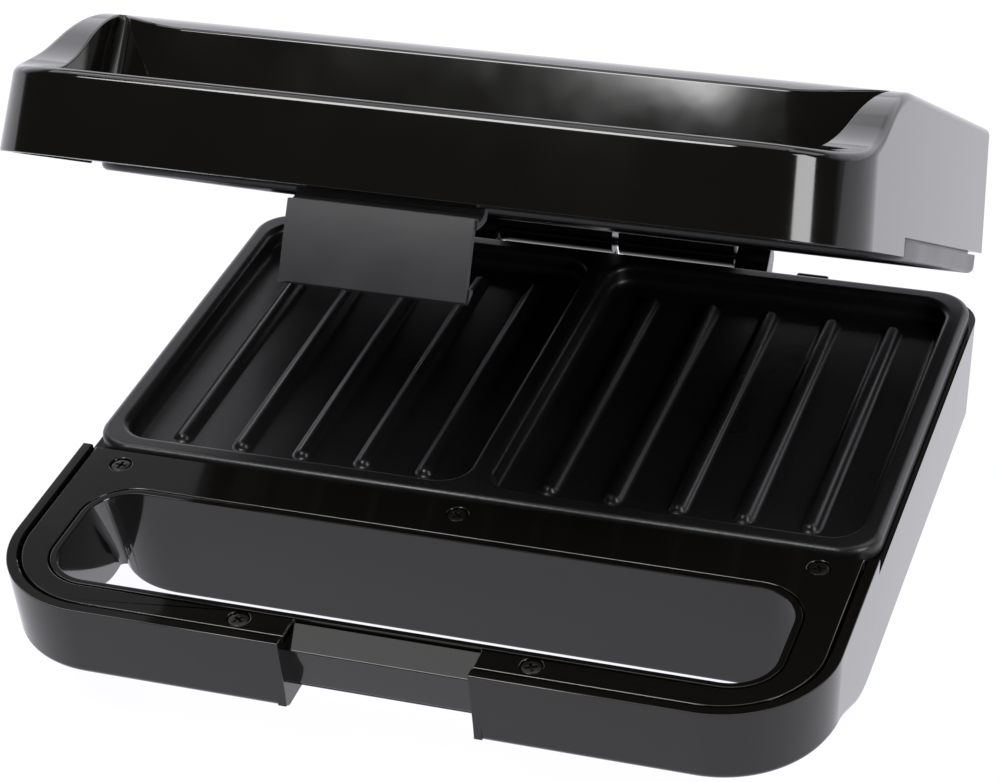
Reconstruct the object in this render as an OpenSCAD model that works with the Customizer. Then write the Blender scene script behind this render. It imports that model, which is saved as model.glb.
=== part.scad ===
// Sandwich toaster: two hinged half shells with hot plates, hand loops and a clip latch.
// Millimetres. +Z up, -Y is the front, origin on the table under the middle of the open toaster.

/* [Shells] */
// Width over the two shells at the parting plane
body_w = 238; // [225:1:255]
// Depth of the shells from the front face to the rear wall
body_d = 219; // [212:1:235]
// Depth of the handle loop, from the front face to the hot plates
handle_d = 75.2; // [72:0.2:80]
// Height of the base's handle bar
base_bar_h = 23; // [20:0.5:25]
// Depth of the base under its rim
base_h = 40.5; // [37:0.5:48]
// Height of the lid's handle bar
lid_bar_h = 23; // [20:0.5:25]
// Height of the lid over its rim
lid_h = 43; // [39:0.5:50]
// Wall thickness of both shells
wall = 3.2; // [2.6:0.1:3.6]
// Thickness of the shells' outer skins
skin = 2.6; // [2:0.1:3.2]
// Draft of the walls, as a slope
lean = 0.06; // [0.04:0.01:0.09]
// Radius of the front corners
front_r = 32; // [26:1:40]
// Radius of the rear corners
rear_r = 13; // [12:0.5:16]
// How far the walls beside the hot plates stop short of the rim
hot_step = 5.2; // [4.4:0.2:6]

/* [Handle loops] */
// Width of the hand hole
hole_w = 206; // [190:1:210]
// Depth of the hand hole
hole_d = 41.4; // [38:0.2:42]
// Corner radius of the hand hole
hole_r = 12.5; // [8:0.5:16]
// Width of the lip round the hand hole
lip = 2; // [1.6:0.1:2.4]
// Thickness of the handle covers
cover_t = 2.4; // [1.8:0.1:2.8]
// How far the covers lie below the rim
cover_drop = 0.5; // [0.2:0.1:0.8]
// Groove between the covers and the walls
cover_gap = 1; // [0.6:0.1:1.2]

/* [Hot plates] */
// How far the base plate's rim stands over the shell's rim
base_proud = 0.5; // [0.2:0.1:1]
// How far the lid plate's rim stands over the shell's rim
lid_proud = 1.3; // [0.8:0.1:2]
// Gap between the two plates' rims when closed
plate_gap = 0.4; // [0.3:0.1:1]
// Plate rim's distance inside the shell's side walls
plate_in = 1.8; // [1.4:0.1:2.2]
// Plate rim's distance inside the shell's rear wall
plate_rear_in = 4.6; // [4:0.2:6]
// Depth of the plates' pockets
pocket_d = 7; // [5:0.5:8]
// Metal thickness under the pockets
plate_t = 3; // [2.4:0.2:3.4]
// Width of the plates' rims
rim_w = 6.5; // [5:0.5:8]
// Rounding of the plates' outer rims
rim_round = 2; // [1:0.5:2.5]
// Rounding of the pockets' floors
floor_round = 3; // [2:0.5:3.5]
// Width of the dividing ridge between the pockets
ridge_w = 7; // [5:0.5:10]
// Ribs in each pocket
rib_n = 5; // [3:1:6]

/* [Hinge and opening] */
// Angle the lid stands open
open_angle = 32; // [10:1:60]
// Hinge axis behind the rear wall
hinge_back = 5.1; // [5:0.1:6]
// Hinge axis below the base's rim
hinge_drop = 1.9; // [1.5:0.1:2.4]
// Radius of the hinge knuckles
knuckle_r = 3.8; // [3.4:0.1:4]
// Length of each lid knuckle
knuckle_long = 38; // [30:1:42]
// Length of each base knuckle
knuckle_short = 10.7; // [9:0.1:14]
// Gap between neighbouring knuckles
knuckle_gap = 0.7; // [0.4:0.1:1]
// Radius of the hinge pin
pin_r = 1.6; // [1.2:0.1:2]

/* [Latch] */
// Width of the latch plate
latch_w = 51; // [44:1:56]
// Thickness of the latch plate
latch_t = 2.2; // [1.8:0.1:2.4]
// Side clearance of the latch in its notch
notch_gap = 1.2; // [0.8:0.1:1.6]
// Latch axis behind the front face
latch_y = 7.6; // [7.4:0.1:8]
// Latch axis above the lid's rim
latch_u = 3.5; // [3.3:0.1:3.8]
// Radius of the latch pin
latch_pin_r = 1.2; // [1:0.1:1.3]

/* [Feet and cord inlet] */
// Height of the feet
foot_h = 3.5; // [2.5:0.5:5]
// Radius of the feet
foot_r = 8; // [6:0.5:9]
// Radius of the cord's bore
cord_r = 3.2; // [2.5:0.1:3.6]

/* [Hidden] */
$fn = 64;

rim_z = foot_h + base_h;
// the lid's rim hangs this far over the base's rim when closed
rim_gap = base_proud + lid_proud + plate_gap;
// how far the open lid reaches behind the rear wall, to the nearest half millimetre
lid_reach = round(2 * (hinge_back - (hinge_back + lean * lid_h) * cos(open_angle)
    + (hinge_drop + rim_gap + lid_h) * sin(open_angle))) / 2;
front = -(body_d + lid_reach) / 2;
rear = front + body_d;
hinge_y = rear + hinge_back;
hinge_z = rim_z - hinge_drop;
eps = 0.01;

// S-curved step from handle bar to hot body: start, slope and radii
base_s = [22, 29, 40, 40];
lid_s = [12, 31, 60, 60];

// hand hole, measured from the front face
hole_y0 = 14.5;
hole_mid = front + hole_y0 + hole_d / 2;
cover_under = cover_drop + cover_t;
lip_gap = 0.5;

// screw places: three behind the hand hole, two in front of it
screw_row_rear = front + handle_d - 6.9;
screw_row_front = front + 8.6;
screw_far = body_w / 2 - 15.3;
screw_near = 41.5;
SCREWS = [[-screw_far, screw_row_rear], [0, screw_row_rear], [screw_far, screw_row_rear],
    [-screw_near, screw_row_front], [screw_near, screw_row_front]];
screw_head_r = 2.9;
screw_head_h = 1.4;
screw_shank_r = 1.25;
screw_len = 11;
boss_r = 3.4;
boss_clear = 0.1;
pilot_clear = 0.05;

// latch notch in the base's front bar, as [behind the front face, height over the rim]
notch_w = latch_w + 2 * notch_gap;
notch_d = 12;
notch_wall = 2.4;
ramp_top = [notch_d, -1.4];
ramp_foot = [4.4, -5.2];
nose = [7.4, -18.5];
NOTCH = [[-5, 5], [notch_d, 5], ramp_top, ramp_foot, nose,
    [notch_d, nose[1]], [notch_d, -60], [-5, -60]];
latch_pivot_z = rim_gap + latch_u;
barrel_r = 2.6;

// hot plate
plate_w = body_w - 2 * plate_in;
plate_y0 = front + handle_d + 0.7;
plate_y1 = rear - plate_rear_in;
plate_d = plate_y1 - plate_y0;
plate_mid = (plate_y0 + plate_y1) / 2;
plate_r = rear_r - plate_in;
flange_u = hot_step - 0.8;
body_in = wall + 0.8 - plate_in;
tab_t = 2;
tab_w = 13;
TABS_X = [-screw_far, 0, screw_far];
hook_x = 70;

// heater, trays and their seats, as heights outward from the rim plane
heater_r = 3.25;
heater_bend = 20;
heater_x = plate_w / 2 - 26;
heater_y = plate_d / 2 - 24;
heater_end = heater_x + 3.5;
tray_in = 17;
tray_t = 0.6;
tray_depth = 9.5;
seat = 0.05;
post_x = plate_w / 2 - 26 - 12;
post_y = plate_d / 2 - 38;
post_r = 4;

// ---------- helpers ----------

module rr_rect(w, d, r) {
    square([w - 2 * r, d], center = true);
    square([w, d - 2 * r], center = true);
    for (x = [-1, 1], y = [-1, 1])
        translate([x * (w / 2 - r), y * (d / 2 - r)]) circle(r);
}

// side view of a slab whose upper edges are rounded, from the middle out
module soft_side(w, h, edge) {
    square([w, h - edge]);
    square([w - edge, h]);
    translate([w - edge, h - edge]) circle(edge);
}

// slab with rounded upright corners and a rounded upper edge
module soft_slab(w, d, r, h, edge) {
    for (a = [0, 180]) rotate(a) {
        translate([-w / 2 + r, 0, 0]) rotate([90, 0, 90]) linear_extrude(w - 2 * r)
            soft_side(d / 2, h, edge);
        translate([0, d / 2 - r, 0]) rotate([90, 0, 0]) linear_extrude(d - 2 * r)
            soft_side(w / 2, h, edge);
        translate([w / 2 - r, d / 2 - r, 0]) rotate_extrude(angle = 90) soft_side(r, h, edge);
        translate([-w / 2 + r, d / 2 - r, 0]) rotate(90) rotate_extrude(angle = 90)
            soft_side(r, h, edge);
    }
}

// plan of the shells, drawn in by a distance
module plan(in) {
    w = body_w / 2;
    translate([-w + front_r, front + in]) square([body_w - 2 * front_r, -front - in]);
    translate([-w + rear_r, 0]) square([body_w - 2 * rear_r, rear - in]);
    translate([-w + in, front + front_r])
        square([body_w - 2 * in, body_d - front_r - rear_r]);
    for (x = [-1, 1]) {
        translate([x * (w - front_r), front + front_r]) circle(front_r - in);
        translate([x * (w - rear_r), rear - rear_r]) circle(rear_r - in);
    }
}

// block with the shells' plan whose walls lean inward as they rise
module drafted(in, z0, z1) {
    w = body_w / 2;
    a = in + lean * z0;
    b = in + lean * z1;
    translate([-w + front_r, 0, 0]) rotate([90, 0, 90])
        linear_extrude(body_w - 2 * front_r)
            polygon([[front + a, z0], [0, z0], [0, z1], [front + b, z1]]);
    translate([-w + rear_r, 0, 0]) rotate([90, 0, 90])
        linear_extrude(body_w - 2 * rear_r)
            polygon([[0, z0], [rear - a, z0], [rear - b, z1], [0, z1]]);
    translate([0, rear - rear_r, 0]) rotate([90, 0, 0])
        linear_extrude(body_d - front_r - rear_r)
            polygon([[-w + a, z0], [w - a, z0], [w - b, z1], [-w + b, z1]]);
    // quarter cones at the four corners: [side, centre behind, start angle, radius]
    for (c = [[-1, front + front_r, 180, front_r], [1, front + front_r, 270, front_r],
            [1, rear - rear_r, 0, rear_r], [-1, rear - rear_r, 90, rear_r]])
        translate([c[0] * (w - c[3]), c[1], 0]) rotate(c[2]) rotate_extrude(angle = 90)
            polygon([[0, z0], [c[3] - a, z0], [c[3] - b, z1], [0, z1]]);
}

// side view of a half shell: handle bar, S-curve and hot body, drawn in by a thickness
module side_view(bar, h, s, t) {
    a = s[1];
    run = (h - bar - (s[2] + s[3]) * (1 - cos(a))) / sin(a);
    y0 = front + s[0];
    y1 = y0 + (s[2] + s[3]) * sin(a) + run * cos(a);
    low = [y0, bar + s[2]];
    high = [y1, h - s[3]];
    p_low = low + (s[2] + t) * [sin(a), -cos(a)];
    p_high = high + (s[3] - t) * [-sin(a), cos(a)];
    difference() {
        union() {
            polygon([[front - 5, -10], [rear + 5, -10], [rear + 5, h - t], [y1, h - t],
                p_high, p_low, [y0, bar - t], [front - 5, bar - t]]);
            intersection() {
                translate(high) circle(s[3] - t);
                translate(p_high) square([y1 - p_high[0], h - t - p_high[1]]);
            }
        }
        translate(low) circle(s[2] + t);
    }
}

module along_x(x0, x1) {
    translate([x0, 0, 0]) rotate([90, 0, 90]) linear_extrude(x1 - x0) children();
}

module half_blank(bar, h, s, in, t, z0) {
    intersection() {
        drafted(in, z0, h + 1);
        along_x(-body_w, body_w) side_view(bar, h, s, t);
    }
}

module at_screws() {
    for (p = SCREWS) translate(p) children();
}

// ---------- one half shell, growing outward (+Z) from its rim plane ----------

module hole_plan(grow) {
    translate([0, hole_mid]) rr_rect(hole_w + 2 * grow, hole_d + 2 * grow, hole_r + grow);
}

module shell_cavity(bar, h, s) {
    rib = 2;
    difference() {
        half_blank(bar, h, s, wall, skin, -1);
        // wall round the hand hole
        translate([0, 0, cover_drop]) linear_extrude(h) hole_plan(lip);
        // screw bosses
        translate([0, 0, cover_under + tab_t + boss_clear]) linear_extrude(h)
            for (p = SCREWS) if (p[1] > hole_mid) translate(p) circle(boss_r);
        translate([0, 0, cover_under]) linear_extrude(h)
            for (p = SCREWS) if (p[1] < hole_mid) translate(p) circle(boss_r);
        // cross rib that carries the plate's front edge
        translate([-body_w / 2, front + handle_d - rib, cover_under + tab_t + boss_clear])
            cube([body_w, rib, h]);
        // rear catches for the plate's hooks
        for (x = [-hook_x, hook_x]) {
            translate([x - 9, rear - wall - 3.6 - 1, flange_u + plate_t + 2.4])
                cube([18, 12, 4]);
        }
    }
}

module half_shell(bar, h, s) {
    difference() {
        half_blank(bar, h, s, 0, 0, 0);
        shell_cavity(bar, h, s);
        translate([0, 0, -1]) linear_extrude(h + 5) hole_plan(0);
        // the walls beside the hot plate stop short of the rim
        translate([-body_w, front + handle_d, -1])
            cube([2 * body_w, body_d, 1 + hot_step]);
        for (p = SCREWS) translate([p[0], p[1], 0])
            cylinder(h = screw_len + cover_drop, r = screw_shank_r + pilot_clear);
    }
}

module handle_cover(notch) {
    difference() {
        translate([0, 0, cover_drop]) linear_extrude(cover_t) difference() {
            intersection() {
                plan(wall + cover_gap);
                translate([-body_w / 2, front]) square([body_w, handle_d - 0.3]);
            }
            hole_plan(lip + lip_gap);
            translate([-notch / 2, front]) square([notch, notch_d + 0.2]);
        }
        at_screws() translate([0, 0, cover_drop - eps]) {
            cylinder(h = screw_head_h + 0.2, r = screw_head_r + 0.3);
            cylinder(h = cover_t + 1, r = screw_shank_r + 0.15);
        }
    }
}

module cover_screws() {
    at_screws() translate([0, 0, cover_drop + 0.2 - eps]) difference() {
        union() {
            cylinder(h = screw_head_h, r = screw_head_r);
            cylinder(h = screw_len - 0.5, r = screw_shank_r);
        }
        for (a = [0, 90]) rotate(a) translate([-1.7, -0.35, -1]) cube([3.4, 0.7, 1.8]);
    }
}

// ---------- hot plate, heater and tray, outward (+Z) from the rim plane ----------

pocket_w = (plate_w - 2 * rim_w - ridge_w) / 2;
pocket_l = plate_d - 2 * rim_w;
pocket_r = 9;
rib_r = 2.4;
rib_pitch = pocket_w / (rib_n + 0.6);
rib_l = pocket_l - 22;

module rib_bar() {
    rotate([90, 0, 0]) cylinder(h = rib_l, r = rib_r, center = true);
    for (e = [-1, 1]) translate([0, e * rib_l / 2, 0]) sphere(rib_r);
}

// what the two pockets take out, down to their floor at a height
module pockets(floor_u) {
    deep = pocket_d + 1;
    for (s = [-1, 1]) translate([s * (pocket_w + ridge_w) / 2, plate_mid, floor_u - deep])
        difference() {
            soft_slab(pocket_w, pocket_l, pocket_r, deep, floor_round);
            for (i = [0 : rib_n - 1])
                translate([(i - (rib_n - 1) / 2) * rib_pitch, 0, deep]) rib_bar();
        }
}

module hot_plate(proud) {
    floor_u = pocket_d - proud;
    under = floor_u + plate_t;
    difference() {
        union() {
            translate([0, plate_mid, flange_u]) mirror([0, 0, 1])
                soft_slab(plate_w, plate_d, plate_r, flange_u + proud, rim_round);
            translate([0, plate_mid, flange_u - eps]) linear_extrude(under - flange_u + eps)
                rr_rect(plate_w - 2 * body_in, plate_d - 2 * body_in, plate_r - body_in / 2);
            // front tabs, under the cover's rear screws
            for (x = TABS_X) translate([x - tab_w / 2, screw_row_rear - 5, cover_under + 0.05])
                cube([tab_w, plate_y0 + body_in + 2 - screw_row_rear + 5, tab_t]);
            // rear hooks over the shell's catches
            for (x = [-hook_x, hook_x])
                translate([x - 6, plate_y1 - body_in - 1, flange_u + plate_t])
                    cube([12, body_in + 1.6, 2.2]);
            // bosses for the tray
            for (x = [-1, 1], y = [-1, 1])
                translate([x * post_x, plate_mid + y * post_y, under - eps])
                    cylinder(h = tray_depth - tray_t, r = post_r);
        }
        pockets(floor_u);
        for (p = SCREWS) if (p[1] > hole_mid) translate([p[0], p[1], 0])
            cylinder(h = 9, r = screw_shank_r + 0.4);
        for (x = [-1, 1], y = [-1, 1])
            translate([x * post_x, plate_mid + y * post_y, under + 1])
                cylinder(h = tray_depth, r = 1.3);
    }
}

module heater(proud) {
    u = pocket_d - proud + plate_t + heater_r + 0.05;
    leg = heater_x - heater_bend;
    translate([0, plate_mid, u]) {
        for (y = [-1, 1]) {
            translate([-leg, y * heater_y, 0]) rotate([0, 90, 0])
                cylinder(h = leg + heater_end, r = heater_r);
            translate([-leg, y * (heater_y - heater_bend), 0]) rotate(y > 0 ? 90 : 180)
                rotate_extrude(angle = 90) translate([heater_bend, 0]) circle(heater_r);
            // cold ends with ceramic beads and pins
            translate([heater_end - eps, y * heater_y, 0]) rotate([0, 90, 0])
                cylinder(h = 5.5, r = heater_r - 0.6);
            translate([heater_end + 5, y * heater_y, 0]) rotate([0, 90, 0])
                cylinder(h = 7, r = 1.2);
        }
        translate([-heater_x, 0, 0]) rotate([90, 0, 0])
            cylinder(h = 2 * (heater_y - heater_bend), r = heater_r, center = true);
    }
}

module heater_clamps(proud) {
    under = pocket_d - proud + plate_t;
    r = heater_r + 0.1;
    for (x = [-30, 30], y = [-1, 1])
        translate([x - 5, plate_mid + y * heater_y, under + 0.02]) rotate([90, 0, 90])
            linear_extrude(10) difference() {
                union() {
                    translate([-9, 0]) square([18, 1]);
                    translate([0, heater_r]) circle(r + 1);
                    translate([-r - 1, 0]) square([2 * r + 2, heater_r]);
                }
                translate([0, heater_r]) circle(r);
                translate([-r, -2]) square([2 * r, heater_r + 2]);
            }
}

// pressed sheet pan with a flat brim and rounded floor, over the heater
module tray(proud) {
    under = pocket_d - proud + plate_t;
    w = plate_w - 2 * tray_in;
    d = plate_d - 2 * tray_in + 8;
    translate([0, plate_mid, under + seat]) difference() {
        union() {
            linear_extrude(tray_t) rr_rect(w + 8, d + 8, 12);
            soft_slab(w, d, 9, tray_depth, 2.4);
        }
        translate([0, 0, -tray_t])
            soft_slab(w - 2 * tray_t, d - 2 * tray_t, 9 - tray_t, tray_depth, 2.4 - tray_t);
        for (x = [-1, 1], y = [-1, 1]) translate([x * post_x, y * post_y, 0])
            cylinder(h = 20, r = 1.6);
        // slots for the heater's ends
        for (y = [-1, 1]) translate([w / 2, y * heater_y, heater_r])
            cube([20, 8, 2 * heater_r + 2], center = true);
    }
}

module tray_screws(proud) {
    u = pocket_d - proud + plate_t + 2 * seat + tray_depth;
    for (x = [-1, 1], y = [-1, 1]) translate([x * post_x, plate_mid + y * post_y, u]) {
        difference() {
            cylinder(h = 1.8, r = 2.8);
            for (a = [0, 90]) rotate(a) translate([-1.6, -0.3, 0.8]) cube([3.2, 0.6, 2]);
        }
        translate([0, 0, -6]) cylinder(h = 6 + eps, r = 1.25);
    }
}

// ---------- placing of the two halves ----------

module base_half() {
    translate([0, 0, rim_z]) mirror([0, 0, 1]) children();
}

// children are drawn closed; the lid then turns about the hinge
module opened() {
    translate([0, hinge_y, hinge_z]) rotate([-open_angle, 0, 0])
        translate([0, -hinge_y, -hinge_z]) children();
}

module closed_lid() {
    translate([0, 0, rim_z + rim_gap]) children();
}

module lid_half() {
    opened() closed_lid() children();
}

// ---------- hinge ----------

base_knuckle_x = knuckle_gap * 1.5 + knuckle_long + knuckle_gap;
wall_top_z = rim_z - hot_step;

// lugs seated on the base's rear wall, with a foot over its top edge
module hinge_lugs() {
    low = wall_top_z - 12;
    face = rear + seat - lean * (rim_z - low);
    color([0.05, 0.05, 0.06]) difference() {
        for (x = [base_knuckle_x, -base_knuckle_x - knuckle_short]) along_x(x, x + knuckle_short) {
            translate([hinge_y, hinge_z]) circle(knuckle_r);
            polygon([[face, low], [rear + seat - lean * hot_step, wall_top_z + seat],
                [rear - wall / 2, wall_top_z + seat], [rear - wall / 2, wall_top_z + 1.8],
                [hinge_y, hinge_z + knuckle_r],
                [hinge_y + knuckle_r * 0.9, hinge_z - knuckle_r * 0.43]]);
        }
        hinge_bore();
    }
}

module lid_knuckles() {
    edge_z = rim_z + rim_gap + hot_step;
    lip_r = knuckle_r + 2.8;
    for (side = [-1, 1])
        along_x(side > 0 ? knuckle_gap * 1.5 : -knuckle_gap * 1.5 - knuckle_long,
            side > 0 ? knuckle_gap * 1.5 + knuckle_long : -knuckle_gap * 1.5) {
            translate([hinge_y, hinge_z]) circle(knuckle_r);
            polygon([[hinge_y + knuckle_r, hinge_z], [hinge_y + knuckle_r * 0.6, edge_z],
                [rear - lean * (hot_step + 12), edge_z + 12],
                [rear - wall / 2 - lean * (hot_step + 12), edge_z + 12],
                [rear - wall / 2 - lean * hot_step, edge_z], [hinge_y - knuckle_r, hinge_z]]);
            // lip that meets the base's rear wall when the lid is fully open
            translate([hinge_y, hinge_z]) rotate(-38)
                translate([0, -0.8]) square([lip_r, 1.6]);
        }
}

module hinge_bore() {
    half = base_knuckle_x + knuckle_short + 1;
    translate([-half, hinge_y, hinge_z]) rotate([0, 90, 0])
        cylinder(h = 2 * half, r = pin_r + 0.05);
}

module hinge_pin() {
    color("silver") translate([-base_knuckle_x - knuckle_short, hinge_y, hinge_z])
        rotate([0, 90, 0]) cylinder(h = 2 * (base_knuckle_x + knuckle_short), r = pin_r);
}

// ---------- base ----------

foot_x = body_w / 2 - 3.75 * foot_r;
FEET = [[-foot_x, front + handle_d + 2.6 * foot_r], [foot_x, front + handle_d + 2.6 * foot_r],
    [-foot_x, rear - 3 * foot_r], [foot_x, rear - 3 * foot_r]];
gland_x = -body_w / 3;
gland_z = rim_z - base_h * 0.62;
gland_r = cord_r + 3.4;
seat_in = 0.8;
guide_x = 65.5;

// walls that close the notch towards the hollow bar
module notch_housing() {
    half = notch_w / 2;
    intersection() {
        base_half() half_blank(base_bar_h, base_h, base_s, wall / 2, skin / 2, 0);
        union() {
            for (x = [-half - notch_wall, half]) translate([x, front, 0])
                cube([notch_wall, notch_d + notch_wall, rim_z - cover_under - 0.05]);
            along_x(-half, half) translate([front, rim_z]) {
                translate([notch_d, -base_bar_h])
                    square([notch_wall, base_bar_h - cover_under - 0.05]);
                difference() {
                    translate([0, -base_bar_h]) square([notch_d, base_bar_h]);
                    // hollow behind the sloped face
                    polygon([ramp_top + notch_wall * [0, -1], ramp_foot + notch_wall * [1.1, -0.5],
                        nose + notch_wall * [1, 1], [notch_d, nose[1] + notch_wall]]);
                }
            }
        }
    }
}

module base_shell() {
    color([0.05, 0.05, 0.06]) difference() {
        union() {
            base_half() half_shell(base_bar_h, base_h, base_s);
            notch_housing();
            // small guide lugs on the rear wall
            for (side = [-1, 1]) along_x(side * guide_x - 5, side * guide_x + 5) {
                translate([rear - wall - 0.3, rim_z - hot_step - 4]) square([2.8, hot_step + 1.4]);
                translate([rear - wall + 1.1, rim_z - 2.6]) circle(1.4);
            }
            // flat seat of the cord bushing
            translate([gland_x, rear - wall - 2, gland_z]) rotate([-90, 0, 0])
                cylinder(h = wall + 2 - seat_in, r = gland_r + 1);
        }
        // latch notch: ramp, sloped face and undercut nose
        along_x(-notch_w / 2, notch_w / 2) translate([front, rim_z]) polygon(NOTCH);
        translate([gland_x, rear - 12, gland_z]) rotate([-90, 0, 0])
            cylinder(h = 20, r = gland_r - 1.4);
        // holes for the feet's stems
        for (p = FEET) translate([p[0], p[1], -1]) cylinder(h = foot_h + skin + 2, r = 2.6);
    }
}

module base_handle_cover() {
    color([0.1, 0.1, 0.11]) base_half() handle_cover(notch_w);
}

module base_cover_screws() {
    color([0.12, 0.12, 0.13]) base_half() cover_screws();
}

module base_plate() {
    color([0.15, 0.15, 0.16]) base_half() hot_plate(base_proud);
}

module base_heater() {
    color("silver") base_half() heater(base_proud);
}

module base_heater_clamps() {
    color("silver") base_half() heater_clamps(base_proud);
}

module base_tray() {
    color("lightgray") base_half() tray(base_proud);
}

module base_tray_screws() {
    color("silver") base_half() tray_screws(base_proud);
}

tray_back = pocket_d + plate_t + seat + tray_depth;

module thermal_fuse() {
    u = tray_back - base_proud + seat;
    color("tan") base_half() translate([0, plate_mid + 16, u + 2.2]) {
        rotate([0, 90, 0]) cylinder(h = 14, r = 2, center = true);
        rotate([0, 90, 0]) cylinder(h = 44, r = 0.6, center = true);
        translate([-3, -4, -2.2]) cube([6, 8, 2.2]);
    }
}

module terminal_block() {
    w = 28;
    d = 14;
    h = 11;
    pitch = 8;
    mid_y = rear - 37;
    color("ivory") base_half() translate([gland_x, mid_y, base_h - skin - h]) difference() {
        translate([-w / 2, -d / 2, 0]) cube([w, d, h]);
        for (i = [-1, 0, 1]) translate([pitch * i, 0, 0]) {
            translate([0, 0, -1]) cylinder(h = 8, r = 2.2);
            translate([0, -d / 2 - 1, h / 2]) rotate([-90, 0, 0]) cylinder(h = d + 2, r = 1.6);
        }
    }
}

module feet() {
    color([0.08, 0.08, 0.08]) for (p = FEET) translate(p) {
        cylinder(h = foot_h, r1 = foot_r - 1, r2 = foot_r);
        cylinder(h = foot_h + skin + 1.2, r = 2.5);
        translate([0, 0, foot_h + skin + 0.1]) cylinder(h = 1.6, r1 = 3.4, r2 = 2.6);
    }
}

module cord_gland() {
    color([0.08, 0.08, 0.08]) translate([gland_x, rear - seat_in + seat, gland_z])
        rotate([-90, 0, 0]) difference() {
        union() {
            cylinder(h = 2, r = gland_r);
            translate([0, 0, -wall - 4]) cylinder(h = wall + 4 + eps, r = gland_r - 1.5);
            translate([0, 0, -wall - 4]) cylinder(h = 1.8, r1 = gland_r - 1.5, r2 = gland_r - 0.6);
            translate([0, 0, 2 - eps]) cylinder(h = 7, r1 = gland_r - 1.6, r2 = cord_r + 1.2);
        }
        translate([0, 0, -20]) cylinder(h = 40, r = cord_r);
    }
}

// ---------- lid ----------

LENSES = [-11, 11];
lens_y = front + handle_d + 20.8;
lens_r = 4;

module lid_shell() {
    // ears beside the latch's neck
    ear = 2.4;
    ear_x = latch_w / 2 - 1.6;
    ear_u = latch_u - latch_pin_r - 1.1;
    color([0.04, 0.04, 0.05]) opened() difference() {
        union() {
            closed_lid() half_shell(lid_bar_h, lid_h, lid_s);
            lid_knuckles();
            // ears that carry the latch pin inside the bar
            closed_lid() intersection() {
                half_blank(lid_bar_h, lid_h, lid_s, wall / 2, skin / 2, 0);
                for (x = [-ear_x - ear, ear_x]) translate([x, front, ear_u])
                    cube([ear, latch_y + 3.4, lid_bar_h]);
            }
        }
        hinge_bore();
        closed_lid() translate([-ear_x - ear - 1, front + latch_y, latch_u]) rotate([0, 90, 0])
            cylinder(h = 2 * (ear_x + ear + 1), r = latch_pin_r + 0.05);
        closed_lid() for (x = LENSES) translate([x, lens_y, lid_h - skin - 1])
            cylinder(h = skin + 3, r = lens_r + 0.1);
    }
}

module lid_handle_cover() {
    color([0.1, 0.1, 0.11]) lid_half() handle_cover(notch_w);
}

module lid_cover_screws() {
    color([0.12, 0.12, 0.13]) lid_half() cover_screws();
}

module lid_plate() {
    color([0.15, 0.15, 0.16]) lid_half() hot_plate(lid_proud);
}

module lid_heater() {
    color("silver") lid_half() heater(lid_proud);
}

module lid_heater_clamps() {
    color("silver") lid_half() heater_clamps(lid_proud);
}

module lid_tray() {
    color("lightgray") lid_half() tray(lid_proud);
}

module lid_tray_screws() {
    color("silver") lid_half() tray_screws(lid_proud);
}

module thermostat() {
    u = tray_back - lid_proud + seat;
    color("ivory") lid_half() translate([0, plate_mid + 20, u]) {
        cylinder(h = 3, r = 8.5);
        translate([0, 0, 3 - eps]) cylinder(h = 7, r = 7);
        for (s = [-1, 1]) translate([s * 9 - 3.2, -0.4, 6]) cube([6.4, 0.8, 3]);
    }
}

module lamp_holder() {
    u = lid_h - skin;
    color("ivory") lid_half() difference() {
        union() {
            translate([-20, lens_y - 6.5, u - 6.05]) cube([40, 13, 6]);
            for (x = LENSES) translate([x, lens_y, u - 6.05 - 8]) cylinder(h = 9, r = 3.4);
        }
        for (x = LENSES) translate([x, lens_y, u - 0.85]) cylinder(h = 4, r = lens_r + 0.4);
    }
}

module lens(x) {
    lid_half() translate([x, lens_y, lid_h - skin - 0.8]) {
        cylinder(h = skin + 0.8, r = lens_r);
        translate([0, 0, skin + 0.8 - eps]) intersection() {
            translate([0, 0, 1.2 - 8]) sphere(8);
            cylinder(h = 3, r = lens_r);
        }
    }
}

module power_lens() {
    color([0.7, 0.05, 0.03]) lens(LENSES[0]);
}

module ready_lens() {
    color([0.1, 0.6, 0.1]) lens(LENSES[1]);
}

module latch_pin() {
    half = latch_w / 2 + 0.8;
    color("silver") lid_half() translate([-half, front + latch_y, latch_u]) rotate([0, 90, 0])
        cylinder(h = 2 * half, r = latch_pin_r);
}

// ---------- latch: plate in front, neck behind the wall, tooth at the foot ----------

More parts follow.
